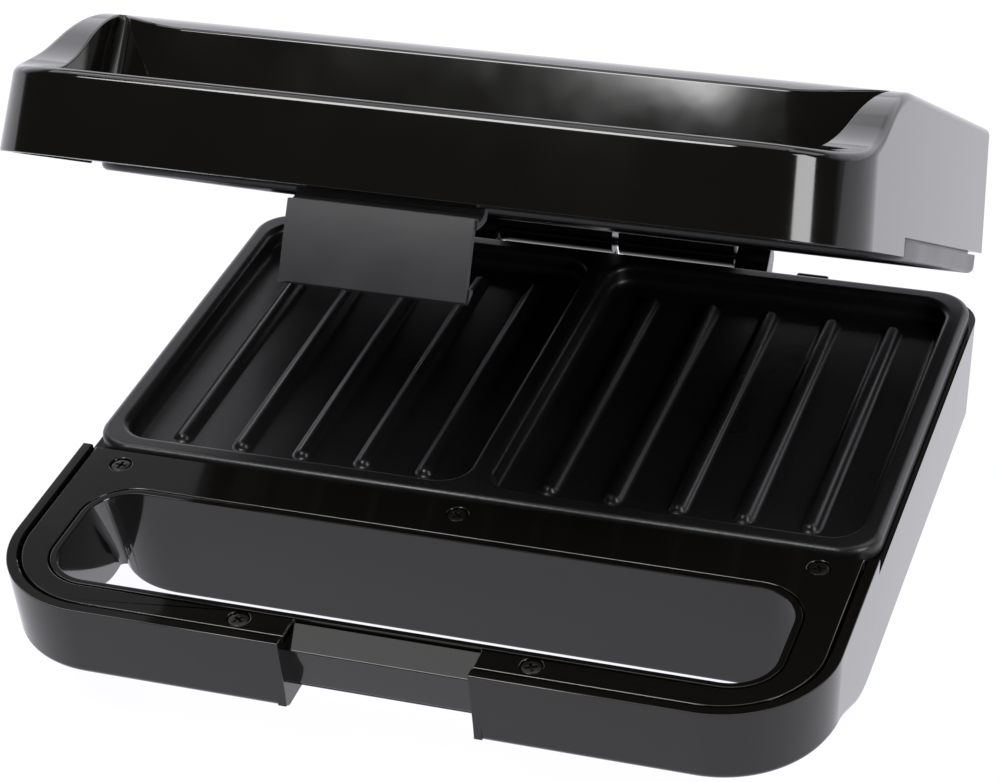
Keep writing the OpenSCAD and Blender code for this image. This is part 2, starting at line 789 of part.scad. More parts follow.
module latch() {
    // the plate stands a little proud of the front face
    back = latch_t - 0.3;
    top = -3.1;
    tooth_u = nose[1] - rim_gap - 0.45;
    tooth_y = nose[0] - 3.05;
    foot = tooth_u - 3.9;
    // the neck comes down behind the bar's front wall and forward over the notch's ramp
    neck_w = latch_w - 4.6;
    neck_y = latch_y - barrel_r / 2;
    shoulder_u = -0.5;
    NECK = [[neck_y, latch_u], [latch_y + barrel_r, latch_u], [8.8, -3.6], [6.6, -4.9],
        [4, -5.8], [back - eps, -6.4], [back - eps, top - 0.2], [3.3, -4.15], [5.4, -2.9],
        [neck_y, -2]];
    color([0.27, 0.27, 0.28]) lid_half() difference() {
        union() {
            along_x(-latch_w / 2, latch_w / 2) translate([front, 0]) {
                translate([back - latch_t, foot]) square([latch_t, top - foot]);
                polygon([[back - eps, tooth_u], [tooth_y, tooth_u], [tooth_y, tooth_u - 1.2],
                    [back - eps, foot]]);
                // the neck is as wide as the plate up to its shoulders, under the ears
                intersection() {
                    polygon(NECK);
                    translate([0, -10]) square([latch_y + 5, 10 + shoulder_u]);
                }
            }
            along_x(-neck_w / 2, neck_w / 2) translate([front, 0]) {
                translate([latch_y, latch_u]) circle(barrel_r);
                polygon(NECK);
            }
        }
        translate([-latch_w, front + latch_y, latch_u]) rotate([0, 90, 0])
            cylinder(h = 2 * latch_w, r = latch_pin_r + 0.05);
    }
}

base_shell();
base_handle_cover();
base_cover_screws();
base_plate();
base_heater();
base_heater_clamps();
base_tray();
base_tray_screws();
thermal_fuse();
terminal_block();
feet();
cord_gland();
hinge_lugs();
hinge_pin();
lid_shell();
lid_handle_cover();
lid_cover_screws();
lid_plate();
lid_heater();
lid_heater_clamps();
lid_tray();
lid_tray_screws();
thermostat();
lamp_holder();
power_lens();
ready_lens();
latch_pin();
latch();
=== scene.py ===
from math import atan2, cos, degrees, pi, radians, sin

import bmesh
import bpy
from mathutils import Matrix, Vector


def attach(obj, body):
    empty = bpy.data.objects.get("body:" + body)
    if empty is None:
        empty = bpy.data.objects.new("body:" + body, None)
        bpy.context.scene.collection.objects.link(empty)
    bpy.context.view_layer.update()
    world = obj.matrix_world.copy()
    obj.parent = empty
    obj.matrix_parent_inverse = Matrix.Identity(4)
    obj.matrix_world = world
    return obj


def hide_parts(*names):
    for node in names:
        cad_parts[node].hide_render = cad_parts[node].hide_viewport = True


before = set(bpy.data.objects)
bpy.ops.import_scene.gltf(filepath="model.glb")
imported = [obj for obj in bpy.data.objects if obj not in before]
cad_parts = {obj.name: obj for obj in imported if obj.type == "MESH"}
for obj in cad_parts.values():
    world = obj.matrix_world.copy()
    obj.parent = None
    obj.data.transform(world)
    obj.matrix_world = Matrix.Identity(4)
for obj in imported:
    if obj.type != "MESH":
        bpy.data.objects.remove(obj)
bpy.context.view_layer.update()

# ---------------------------------------------------------------------------
# Camera. A long lens from the front right, a third of the way up, rolled a
# little; these angles and the distance were solved from the straight edges.
# ---------------------------------------------------------------------------
turn, drop, roll = radians(20.976), radians(33.161), radians(4.175)
forward = Vector((-sin(turn) * cos(drop), cos(turn) * cos(drop), -sin(drop)))
level = Vector((cos(turn), sin(turn), 0))
down = forward.cross(level)
right = cos(roll) * level + sin(roll) * down
below = -sin(roll) * level + cos(roll) * down
bpy.ops.object.camera_add()
camera = bpy.context.object
camera.matrix_world = Matrix.Translation((0.26173, -0.69516, 0.53652)) @ Matrix(
    (right, -below, -forward)).transposed().to_4x4()
camera.data.lens = 109.285
camera.data.clip_end = 20
bpy.context.scene.camera = camera

# ---------------------------------------------------------------------------
# Light table and studio light. A white acrylic table lit from below, white
# paper behind it, a wide bank overhead, one high behind each end, a tall strip
# at the front right, a small box for the latch, dark felt behind the camera.
# ---------------------------------------------------------------------------


def linear(code, alpha=1.0):
    """An sRGB hex colour as the linear colour that a shader takes."""
    parts = [int(code[i:i + 2], 16) / 255 for i in (1, 3, 5)]
    return [c / 12.92 if c <= 0.04045 else ((c + 0.055) / 1.055) ** 2.4 for c in parts] + [alpha]


def add(tree, kind, set=None, **links):
    """One shader node with its settings and the sockets that feed it."""
    node = tree.nodes.new(kind)
    for name, value in (set or {}).items():
        if name in node.inputs:
            node.inputs[name].default_value = value
        else:
            setattr(node, name, value)
    for name, source in links.items():
        tree.links.new(source, node.inputs[name.replace("_", " ")])
    return node


bpy.ops.mesh.primitive_plane_add(size=38, location=(0, 0, 0))
floor = bpy.context.object
floor.name = "light_table"
acrylic = bpy.data.materials.new("opal_acrylic")
acrylic.use_nodes = True
opal = acrylic.node_tree.nodes["Principled BSDF"]
opal.inputs["Base Color"].default_value = linear("#3c3c3c")
opal.inputs["Roughness"].default_value = 0.9
opal.inputs["Specular IOR Level"].default_value = 0.1
opal.inputs["Emission Color"].default_value = linear("#f8f8ff")
opal.inputs["Emission Strength"].default_value = 1.03
floor.data.materials.append(acrylic)

studio = bpy.data.worlds.new("studio")
studio.use_nodes = True
bpy.context.scene.world = studio
air = studio.node_tree
way = add(air, "ShaderNodeSeparateXYZ", Vector=add(air, "ShaderNodeTexCoord").outputs["Generated"])
paper = add(air, "ShaderNodeMapRange", {"From Min": 0.4, "From Max": 0.56, "To Min": 1.7,
                                        "To Max": 0.3}, Value=way.outputs["Z"])
felt_to_paper = add(air, "ShaderNodeMapRange", {"From Min": 0.1, "From Max": 0.6, "To Min": 0.04},
                    Value=way.outputs["Y"], To_Max=paper.outputs["Result"])
air.nodes["Background"].inputs["Color"].default_value = linear("#f8f8ff")
air.links.new(felt_to_paper.outputs["Result"], air.nodes["Background"].inputs["Strength"])


def bank(name, place, aim, width, height, power):
    """A soft box with its face turned to a point."""
    bpy.ops.object.light_add(type="AREA", location=place)
    lamp = bpy.context.object
    lamp.name = name
    lamp.data.shape = "RECTANGLE"
    lamp.data.size, lamp.data.size_y = width, height
    lamp.data.energy = power
    lamp.rotation_euler = (Vector(aim) - Vector(place)).to_track_quat("-Z", "Y").to_euler()


bank("overhead_bank", (-0.1, 0.35, 1.7), (0, 0, 0), 1.8, 1.4, 15)
bank("right_bank", (1.3, 0.5, 1.7), (0, 0, 0.1), 0.9, 0.9, 7)
bank("left_bank", (-1.3, 0.5, 1.7), (0, 0, 0.1), 0.9, 0.9, 6)
bank("front_strip", (1.23, -0.53, 0.62), (0.1, -0.1, 0.15), 0.36, 0.8, 10)
bank("latch_bank", (-0.28, -0.5, 0.95), (-0.05, -0.1, 0.15), 0.4, 0.35, 7.5)
bpy.context.scene.view_settings.view_transform = "Standard"

# ---------------------------------------------------------------------------
# Base shell. Injection-moulded ABS with a polished black finish: a drafted
# box whose underside steps up in an S-curve to a handle bar round the hand
# hole. Every outer edge has the mould's 2.5 mm radius.
# ---------------------------------------------------------------------------
mm = 0.001
body_w, handle_d = 238 * mm, 75.2 * mm
front, rear = -121.25 * mm, 97.75 * mm
wall, skin, lean = 3.2 * mm, 2.6 * mm, 0.06
front_r, rear_r = 32 * mm, 13 * mm
rim_z, rim_gap, hot_step = 44 * mm, 2.2 * mm, 5.2 * mm
hinge = Vector((0, rear + 5.1 * mm, rim_z - 1.9 * mm))
hole_w, hole_y0, hole_y1, hole_r = 206 * mm, front + 14.5 * mm, front + 55.9 * mm, 12.5 * mm
# the hand hole at the outer face: its front corners, its rear tips, and the rear wall's foot, which
# bows back over the last stretch before each tip
splay_x, splay_y, splay_r = 98.4 * mm, front + 17.8 * mm, 4 * mm
tip_x, tip_y, tip_r, tip_part = 109.3 * mm, front + 70.8 * mm, 1.1 * mm, 0.36
sweep_x, sweep_y, sweep_run, sweep_bow = 85.5 * mm, front + 59.1 * mm, 23 * mm, 23.56
notch_w = 53.4 * mm

base_place = Matrix.Translation((0, 0, rim_z)) @ Matrix.Rotation(pi, 4, "Y")
lid_place = (Matrix.Translation(hinge) @ Matrix.Rotation(radians(-32), 4, "X")
             @ Matrix.Translation(-hinge) @ Matrix.Translation((0, 0, rim_z + rim_gap)))


def only(*pieces):
    """Selects these pieces and nothing else."""
    if bpy.context.object and bpy.context.object.mode != "OBJECT":
        bpy.ops.object.mode_set(mode="OBJECT")
    bpy.ops.object.select_all(action="DESELECT")
    for piece in pieces:
        piece.select_set(True)
    if pieces:
        bpy.context.view_layer.objects.active = pieces[0]


def pick(piece, what, test):
    """Opens a piece in edit mode with only the faces, edges or verts selected that pass a test."""
    only(piece)
    bpy.ops.object.mode_set(mode="EDIT")
    bpy.ops.mesh.select_all(action="DESELECT")
    bpy.ops.mesh.select_mode(type={"faces": "FACE", "edges": "EDGE", "verts": "VERT"}[what])
    mesh = bmesh.from_edit_mesh(piece.data)
    count = 0
    for part in getattr(mesh, what):
        if test(part):
            part.select_set(True)
            count += 1
    mesh.select_flush_mode()
    bmesh.update_edit_mesh(piece.data)
    return count


def done():
    bpy.ops.object.mode_set(mode="OBJECT")


def middle(part):
    """The middle of an edge or face."""
    return sum((v.co for v in part.verts), Vector()) / len(part.verts)


def block(name, half, y0, y1, z, corners, rings, steps=24):
    """A plate with rounded upright corners, raised by rings of (inward, upward) steps."""
    only()
    bpy.ops.mesh.primitive_plane_add(size=1, location=(0, (y0 + y1) / 2, z))
    piece = bpy.context.object
    piece.name = piece.data.name = name
    piece.scale = (2 * half, y1 - y0, 1)
    bpy.ops.object.transform_apply(location=True, rotation=True, scale=True)
    for radius, end in zip(corners, (y0, y1)):
        if radius:
            pick(piece, "verts", lambda v: abs(v.co.y - end) < 1e-6)
            bpy.ops.mesh.bevel(offset=radius, segments=steps, affect="VERTICES")
            bpy.ops.mesh.select_all(action="SELECT")
            bpy.ops.mesh.remove_doubles(threshold=1e-6)
            done()
    pick(piece, "faces", lambda f: True)
    for inward, upward in rings:
        bpy.ops.mesh.inset(thickness=max(inward, 0), depth=upward, use_even_offset=True)
        if inward < 0:
            # inset can't grow, so the new ring is moved away from its corners' centres
            mesh = bmesh.from_edit_mesh(piece.data)
            for v in [v for v in mesh.verts if v.select]:
                radius, y = (corners[0], y0 + corners[0]) if v.co.y < (y0 + y1) / 2 else (
                    corners[1], y1 - corners[1])
                x = (half - radius) * (1 if v.co.x > 0 else -1)
                v.co -= inward * Vector((v.co.x - x, v.co.y - y, 0)).normalized()
            bmesh.update_edit_mesh(piece.data)
    pick(piece, "edges", lambda e: e.is_boundary)
    bpy.ops.mesh.edge_face_add()
    bpy.ops.mesh.select_all(action="SELECT")
    bpy.ops.mesh.normals_make_consistent(inside=False)
    done()
    return piece


def arc(radius, steps, first=0.0, last=90.0):
    """Ring steps of a convex corner, from an upright wall's angle to flat."""
    t = [radians(first + (last - first) * k / steps) for k in range(steps + 1)]
    return [(radius * (cos(a) - cos(b)), radius * (sin(b) - sin(a))) for a, b in zip(t, t[1:])]


def cut(piece, tool, how="DIFFERENCE"):
    """Cuts a piece with a tool piece, or joins or crosses the two."""
    change = piece.modifiers.new("cut", "BOOLEAN")
    change.object, change.operation, change.solver = tool, how, "EXACT"
    only(piece)
    bpy.ops.object.modifier_apply(modifier=change.name)
    bpy.data.objects.remove(tool)
    return piece


def soften(piece, radius, steps, test, least=50):
    """Rounds the sharp outward edges that pass a test."""
    def sharp(e):
        return e.is_convex and e.calc_face_angle(0) > radians(least) and test(middle(e))
    if pick(piece, "edges", sharp):
        bpy.ops.mesh.bevel(offset=radius, segments=steps, profile=0.5, clamp_overlap=False)
    done()


def smooth(piece, edge=0, steps=2):
    """Small radius on what edges are still sharp, then shading that keeps flat faces flat."""
    only(piece)
    if edge:
        change = piece.modifiers.new("edge", "BEVEL")
        change.width, change.segments, change.limit_method = edge, steps, "ANGLE"
        change.angle_limit, change.use_clamp_overlap = radians(40), False
        bpy.ops.object.modifier_apply(modifier=change.name)
    bpy.ops.object.shade_smooth_by_angle(angle=radians(40))
    change = piece.modifiers.new("flats", "WEIGHTED_NORMAL")
    change.keep_sharp = True
    bpy.ops.object.modifier_apply(modifier=change.name)


def place(piece, matrix):
    """Moves a piece from where it was made to its place and leaves its object at the origin."""
    only(piece)
    piece.matrix_world = matrix
    bpy.ops.object.transform_apply(location=True, rotation=True, scale=True)


def s_curve(bar, tall, start, slope, low_r, high_r):
    """Height of a shell's outer face behind its front, and the places where it bends."""
    run = (tall - bar - (low_r + high_r) * (1 - cos(slope))) / sin(slope)
    y0 = front + start
    y1 = y0 + (low_r + high_r) * sin(slope) + run * cos(slope)

    def height(y):
        if y <= y0:
            return bar
        if y - y0 < low_r * sin(slope):
            return bar + low_r - (low_r ** 2 - (y - y0) ** 2) ** 0.5
        if y >= y1:
            return tall
        if y1 - y < high_r * sin(slope):
            return tall - high_r + (high_r ** 2 - (y1 - y) ** 2) ** 0.5
        past = y1 - high_r * sin(slope) - y
        return tall - high_r * (1 - cos(slope)) - past * sin(slope) / cos(slope)

    bends = [y0 + low_r * sin(slope * k / 12) for k in range(13)]
    bends += [y1 - high_r * sin(slope * k / 12) for k in range(13)]
    return height, bends


def sink(piece, tall, height, bends):
    """Lowers a block's flat top onto the S-curve, its walls keeping their lean."""
    top, past_hole = tall - 4 * mm, 26.3 * mm
    for y in bends:
        pick(piece, "faces", lambda f: min(v.co.z for v in f.verts) > top)
        bpy.ops.mesh.bisect(plane_co=(0, y, 0), plane_no=(0, 1, 0))
        done()
    core = body_w / 2 - front_r
    for v in piece.data.vertices:
        if v.co.z > top:
            x, y, z = v.co
            fall = tall - height(y)
            v.co.z = z - fall
            out = Vector((x - max(-core, min(core, x)), y - max(front + front_r, min(rear, y)), 0))
            if out.length > past_hole:
                v.co += out.normalized() * lean * fall


def hand_hole(name, z, grow, tall, rings):
    """The hand hole's space. A rounded oblong at the rim; at the outer face its sides splay towards
    the rear and its rear corners sweep back to a narrow tip."""
    tool = block(name, hole_w / 2 + grow, hole_y0 - grow, hole_y1 + grow, z,
                 (hole_r + grow, hole_r + grow), rings, 28)
    corner_x, front_y, rear_y = hole_w / 2 - hole_r, hole_y0 + hole_r, hole_y1 - hole_r
    for v in tool.data.vertices:
        if v.co.z > tall - mm:
            side, at_rear = (1 if v.co.x > 0 else -1), v.co.y > (front_y + rear_y) / 2
            arm = Vector((abs(v.co.x) - corner_x, v.co.y - (rear_y if at_rear else front_y)))
            angle, grown = atan2(arm.y, arm.x), arm.length - hole_r
            part = degrees(angle) / 90
            if not at_rear:
                x, y, r = splay_x, splay_y, splay_r
            elif part < tip_part:
                x, y, r, angle = tip_x, tip_y, tip_r, radians(-8 + 142 * part / tip_part)
            else:
                reach = sweep_run * (1 - (part - tip_part) / (1 - tip_part))
                x, y, r = sweep_x + reach, sweep_y + sweep_bow * reach ** 2, 0
                angle = atan2(1, -2 * sweep_bow * reach)
            v.co.x = side * (x + (r + grown) * cos(angle))
            v.co.y = y + (r + grown) * sin(angle)
    return tool


def half_shell(name, bar, tall, curve):
    """A half shell lying on its rim, its outer face up."""
    height, bends = s_curve(bar, tall, *curve)
    edge_r, draft, rim_r, ledge = 2.4 * mm, 3.43, 0.35 * mm, 0.5 * mm
    rise = tall - edge_r * (1 - sin(radians(draft)))
    shell = block(name, body_w / 2 - rim_r, front + rim_r, rear - rim_r, 0,
                  (front_r - rim_r, rear_r - rim_r),
                  [(-b, a) for a, b in arc(rim_r, 2)] + [(lean * (rise - rim_r), rise - rim_r)]
                  + arc(edge_r, 6, draft))
    # the hole's lower edge is rounded at the cover's face, its upper edge flares
    flare = arc(0.8 * mm, 4, 0, 72)
    through = tall + 0.01 * mm - ledge - rim_r - sum(b for a, b in flare)
    cut(shell, hand_hole("hand_hole", -mm, rim_r, tall,
                         [(0, mm + ledge)] + [(b, a) for a, b in arc(rim_r, 2)] + [(0, through)]
                         + [(-a, b) for a, b in flare] + [(0, mm)]))
    sink(shell, tall, height, bends)
    inset, rim_cut = wall - 1.3 * mm, 1.3 * mm
    hollow = block("hollow", body_w / 2 - inset, front + inset, rear - inset, -mm,
                   (front_r - inset, rear_r - inset),
                   [(rim_cut, rim_cut), (lean * (tall - skin), tall - skin + mm - rim_cut)])
    sink(hollow, tall, height, bends)
    lip_r = 0.3 * mm
    cut(hollow, hand_hole("hole_wall", ledge, 2 * mm - lip_r, tall,
                          [(-b, a) for a, b in arc(lip_r, 2)] + [(-0.5 * mm, tall)]))
    cut(shell, hollow)
    cut(shell, block("plate_opening", body_w, front + handle_d, rear + 0.02, -mm, (0, 0),
                     [(0, hot_step + mm)]))
    return shell


gloss_black = bpy.data.materials.new("polished_black_abs")
# Polished mould: mirror-like, with the faint waviness and handling haze of a glossy moulding.
gloss_black.use_nodes = True
tree = gloss_black.node_tree
where = add(tree, "ShaderNodeTexCoord").outputs["Object"]
haze = add(tree, "ShaderNodeTexNoise", {"Scale": 38, "Detail": 5, "Roughness": 0.6}, Vector=where)
gloss = add(tree, "ShaderNodeMapRange", {"From Min": 0.3, "From Max": 0.75, "To Min": 0.055,
                                         "To Max": 0.12}, Value=haze.outputs["Fac"])
wave = add(tree, "ShaderNodeTexNoise", {"Scale": 160, "Detail": 1}, Vector=where)
peel = add(tree, "ShaderNodeBump", {"Strength": 0.012, "Distance": 0.0004},
           Height=wave.outputs["Fac"])
skin_shader = tree.nodes["Principled BSDF"]
skin_shader.inputs["Base Color"].default_value = linear("#0c0b09")
skin_shader.inputs["IOR"].default_value = 1.48
tree.links.new(gloss.outputs["Result"], skin_shader.inputs["Roughness"])
tree.links.new(peel.outputs["Normal"], skin_shader.inputs["Normal"])

base_shell = half_shell("base_shell_moulding", 23 * mm, 40.5 * mm,
                        (22 * mm, radians(29), 40 * mm, 40 * mm))
place(base_shell, base_place)
# the latch notch, cut from the side view of its ramp, sloped face and nose
side = [(-5, 5), (12, 5), (12, -1.4), (4.4, -5.2), (7.4, -18.5), (12, -18.5), (12, -30), (-5, -30)]


def profile_bar(name, x0, x1, points, origin=(0, 0)):
    """A bar of a given side view, drawn from point to point and extruded across."""
    only()
    bpy.ops.mesh.primitive_plane_add(size=1, location=(0, 0, 0))
    piece = bpy.context.object
    piece.name = piece.data.name = name
    bpy.ops.object.mode_set(mode="EDIT")
    mesh = bmesh.from_edit_mesh(piece.data)
    bmesh.ops.delete(mesh, geom=mesh.verts[:], context="VERTS")
    ring = [mesh.verts.new((x0, origin[0] + y * mm, origin[1] + z * mm)) for y, z in points]
    mesh.faces.new(ring)
    bmesh.update_edit_mesh(piece.data)
    bpy.ops.mesh.select_all(action="SELECT")
    bpy.ops.mesh.extrude_region_move(TRANSFORM_OT_translate={"value": (x1 - x0, 0, 0)})
    bpy.ops.mesh.select_all(action="SELECT")
    bpy.ops.mesh.normals_make_consistent(inside=False)
    done()
    return piece


def bend(centre, radius, first, last, steps=10):
    """Points along a round stretch of a side view, from one angle to another."""
    angles = [radians(first + (last - first) * k / steps) for k in range(steps + 1)]
    return [(centre[0] + radius * cos(a), centre[1] + radius * sin(a)) for a in angles]


def rod(name, radius, start, end, steps=40):
    """A round bar between two points, capped."""
    only()
    start, end = Vector(start), Vector(end)
    bpy.ops.mesh.primitive_cylinder_add(vertices=steps, radius=radius, depth=(end - start).length)
    piece = bpy.context.object
    piece.name = piece.data.name = name
    turn_to = (end - start).to_track_quat("Z", "Y").to_matrix().to_4x4()
    place(piece, Matrix.Translation((start + end) / 2) @ turn_to)
    return piece


def finish(piece, material, body, slot, *nodes):
    """Gives a finished piece its material, the body it rides on and the CAD nodes it stands for."""
    piece.data.materials.clear()
    piece.data.materials.append(material)
    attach(piece, body)
    if nodes:
        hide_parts(*nodes)


# the wall behind the notch, the notch itself with its ledge and undercut nose
cut(base_shell, profile_bar("notch_wall", -notch_w / 2 - 2.4 * mm, notch_w / 2 + 2.4 * mm,
                            [(1, -22), (1, -3), (13.7, -3), (13.7, -22)], (front, rim_z)), "UNION")
cut(base_shell, profile_bar("ramp", -notch_w / 2 - 2 * mm, notch_w / 2 + 2 * mm,
                            [(3, -8), (3, -1), (11.95, -1), (11.95, -8)], (front, rim_z)), "UNION")
cut(base_shell, profile_bar("notch", -notch_w / 2, notch_w / 2, side, (front, rim_z)))
soften(base_shell, 0.3 * mm, 2, lambda p: abs(p.x) < notch_w / 2 + 0.1 * mm
       and p.y < front + 12.1 * mm and p.z > rim_z - 21 * mm)
# guide lugs on the rear wall's top edge
guide_x = 65.5 * mm
for x in (-guide_x, guide_x):
    lug = profile_bar("guide_lug", x - 5 * mm, x + 5 * mm,
                      [(-3.5, -9.2)] + bend((-2.1, -2.6), 1.4, 180, 0) + [(-0.7, -9.2)],
                      (rear, rim_z))
    soften(lug, 0.6 * mm, 3,
           lambda p: p.z > rim_z - 5 * mm and abs(abs(p.x) - guide_x) > 4.9 * mm)
    cut(base_shell, lug, "UNION")
# round seat of the cord bushing
gland = Vector((-body_w / 3, rear, rim_z - 25.11 * mm))
seat = rod("cord_seat", 7.6 * mm, gland - Vector((0, 5.2 * mm, 0)),
           gland - Vector((0, 0.8 * mm, 0)), 56)
soften(seat, 0.4 * mm, 3, lambda p: p.y > rear - 1 * mm)
cut(base_shell, seat, "UNION")
cut(base_shell, rod("cord_hole", 5.2 * mm, gland - Vector((0, 9 * mm, 0)),
                    gland + Vector((0, 9 * mm, 0))))
smooth(base_shell)
finish(base_shell, gloss_black, "base", "shell_plastic", "base_shell")

# ---------------------------------------------------------------------------
# Feet. Four moulded rubber feet with a hollow tread and a barbed stem that is
# pulled through a hole in the underside.
# ---------------------------------------------------------------------------


def lathe(name, points, steps=48):
    """A turned piece about Z, from its side view as (radius, height) in mm, from axis to axis."""
    only()
    bpy.ops.mesh.primitive_plane_add(size=1, location=(0, 0, 0))
    piece = bpy.context.object
    piece.name = piece.data.name = name
    bpy.ops.object.mode_set(mode="EDIT")
    mesh = bmesh.from_edit_mesh(piece.data)
    bmesh.ops.delete(mesh, geom=mesh.verts[:], context="VERTS")
    line = [mesh.verts.new((r * mm, 0, z * mm)) for r, z in points]
    for a, b in zip(line, line[1:]):
        mesh.edges.new((a, b))
    bmesh.update_edit_mesh(piece.data)
    bpy.ops.mesh.select_all(action="SELECT")
    bpy.ops.mesh.spin(steps=steps, angle=2 * pi, center=(0, 0, 0), axis=(0, 0, 1))
    bpy.ops.mesh.select_all(action="SELECT")
    bpy.ops.mesh.remove_doubles(threshold=1e-6)
    bpy.ops.mesh.normals_make_consistent(inside=False)
    done()
    return piece


def join(name, pieces):
    """Several like pieces as one."""
    only(*pieces)
    bpy.ops.object.join()
    pieces[0].name = pieces[0].data.name = name
    return pieces[0]


def copies(piece, matrices):
    """A copy of a piece, with its own mesh, at each place; the first one is the piece itself."""
    made = []
    for k, matrix in enumerate(matrices):
        twin = piece if k == len(matrices) - 1 else piece.copy()
        if twin is not piece:
            twin.data = piece.data.copy()
            bpy.context.collection.objects.link(twin)
        made.append(twin)
    for twin, matrix in zip(made, matrices):
        place(twin, matrix)
    return made


rubber = bpy.data.materials.new("moulded_black_rubber")
# Nitrile rubber out of a sand-blasted mould: dull, a little grey, fine grain and dust marks.
rubber.use_nodes = True
tree = rubber.node_tree
where = add(tree, "ShaderNodeTexCoord").outputs["Object"]
dust = add(tree, "ShaderNodeTexNoise", {"Scale": 90, "Detail": 6, "Roughness": 0.7}, Vector=where)
tone = add(tree, "ShaderNodeValToRGB", Fac=dust.outputs["Fac"])
tone.color_ramp.elements[0].color = linear("#151515")
tone.color_ramp.elements[1].color = linear("#2a2a29")
dull = add(tree, "ShaderNodeMapRange", {"To Min": 0.6, "To Max": 0.85}, Value=dust.outputs["Fac"])
grain = add(tree, "ShaderNodeTexNoise", {"Scale": 2500, "Detail": 2}, Vector=where)
pits = add(tree, "ShaderNodeBump", {"Strength": 0.25, "Distance": 0.0001},
           Height=grain.outputs["Fac"])
shader = tree.nodes["Principled BSDF"]
shader.inputs["IOR"].default_value = 1.5
tree.links.new(tone.outputs["Color"], shader.inputs["Base Color"])
tree.links.new(dull.outputs["Result"], shader.inputs["Roughness"])
tree.links.new(pits.outputs["Normal"], shader.inputs["Normal"])

foot_x = body_w / 2 - 30 * mm
foot_places = [(x, y) for x in (-foot_x, foot_x)
               for y in (front + handle_d + 20.8 * mm, rear - 24 * mm)]
foot = lathe("foot", [(0, 0.8), (3.6, 0.8)] + bend((4.4, 0.8), 0.8, 180, 270, 4)
             + [(6.2, 0)] + bend((6.2, 0.8), 0.8, -90, -12, 5)
             + [(7.9, 3.1), (7.8, 3.5), (2.5, 3.5), (2.5, 6.2), (3.4, 6.3), (2.6, 7.6), (0, 7.6)])
smooth(foot)
feet = join("feet_moulding", copies(foot, [Matrix.Translation((x, y, 0)) for x, y in foot_places]))
finish(feet, rubber, "base", "foot_rubber", "feet")

# ---------------------------------------------------------------------------
# Cord bushing. A rubber sleeve pressed into the rear wall, tapering away from
# the wall in three rings so that the cord may bend; its bore is open.
# ---------------------------------------------------------------------------
sleeve = [(3.2, -7.15), (5.1, -7.15), (6, -5.3), (5.1, -5.2), (5.1, -0.75), (6.6, -0.75)]
sleeve += bend((6.1, 0.75), 0.5, 0, 90, 4) + [(5, 1.25)]
for k in range(3):
    r, z = 4.9 - 0.3 * k, 1.4 + 2.3 * k
    sleeve += [(r, z), (r - 0.08, z + 1.2), (r - 0.7, z + 1.45), (r - 0.75, z + 2.1)]
sleeve += [(4.2, 8.1), (4.1, 8.25), (3.5, 8.25), (3.2, 8.0), (3.2, -7.15)]
bushing = lathe("cord_bushing", sleeve)
place(bushing, Matrix.Translation(gland) @ Matrix.Rotation(radians(-90), 4, "X"))
smooth(bushing)
finish(bushing, rubber, "base", "gland_rubber", "cord_gland")

# ---------------------------------------------------------------------------
# Hot plates. Die-cast aluminium with a black non-stick coating: a rounded rim
# and ridge, two drafted pockets with filleted floors and five ribs in each,
# front tabs that the cover screws clamp and a thick floor for the heater.
# ---------------------------------------------------------------------------
plate_w, plate_y0, plate_y1 = 234.4 * mm, front + 75.9 * mm, rear - 4.6 * mm
plate_mid, rim_w, ridge_w, pocket_d = (plate_y0 + plate_y1) / 2, 6.5 * mm, 7 * mm, 7 * mm
pocket_w = (plate_w - 2 * rim_w - ridge_w) / 2


def hot_plate(name, proud):
    """A hot plate with its cooking side up, its shell's rim plane at zero."""
    plate = block(name, plate_w / 2, plate_y0, plate_y1, -4.4 * mm, (11.2 * mm, 11.2 * mm),
                  [(0, 4.4 * mm + proud - 2 * mm)] + arc(2 * mm, 6))
    under = proud - 10 * mm
    step = 2.2 * mm
    cut(plate, block("body", plate_w / 2 - step, plate_y0 + step, plate_y1 - step, under,
                     (9 * mm, 9 * mm), [(0, 6 * mm)]), "UNION")
    for x in (-103.7 * mm, 0, 103.7 * mm):
        tab = block("tab", 6.5 * mm, plate_y0 - 12.6 * mm, plate_y0 + 4 * mm, -4.95 * mm,
                    (2 * mm, 0), [(0, 2 * mm)], 6)
        place(tab, Matrix.Translation((x, 0, 0)))
        cut(plate, tab, "UNION")
    for side in (-1, 1):
        centre = Matrix.Translation((side * (pocket_w + ridge_w) / 2, 0, 0))
        pocket = block("pocket", pocket_w / 2 + 0.07 * mm, plate_y0 + rim_w - 0.07 * mm,
                       plate_y1 - rim_w + 0.07 * mm, proud + mm, (9 * mm, 9 * mm),
                       [(0.4 * mm, -5 * mm)] + [(a, -b) for a, b in arc(3 * mm, 6)], 12)
        place(pocket, centre)
        cut(plate, pocket)
    soften(plate, 2 * mm, 5, lambda p: abs(p.z - proud) < 0.01 * mm)
    ribs = []
    length = plate_y1 - plate_y0 - 2 * rim_w - 22 * mm
    foot_curve = [(b, a) for a, b in arc(1.8 * mm, 4, 0, 65)]
    half = 3.8 * mm
    rib = block("rib", half, plate_mid - length / 2 - half, plate_mid + length / 2 + half,
                proud - pocket_d - 0.05 * mm, (half, half),
                foot_curve + arc(2.2 * mm, 5, 25, 90), 10)
    for side in (-1, 1):
        for k in range(-2, 3):
            x = side * (pocket_w + ridge_w) / 2 + k * pocket_w / 5.6
            ribs.append(Matrix.Translation((x, 0, 0)))
    cut(plate, join("ribs", copies(rib, ribs)), "UNION")
    return plate


nonstick = bpy.data.materials.new("nonstick_coated_aluminium")
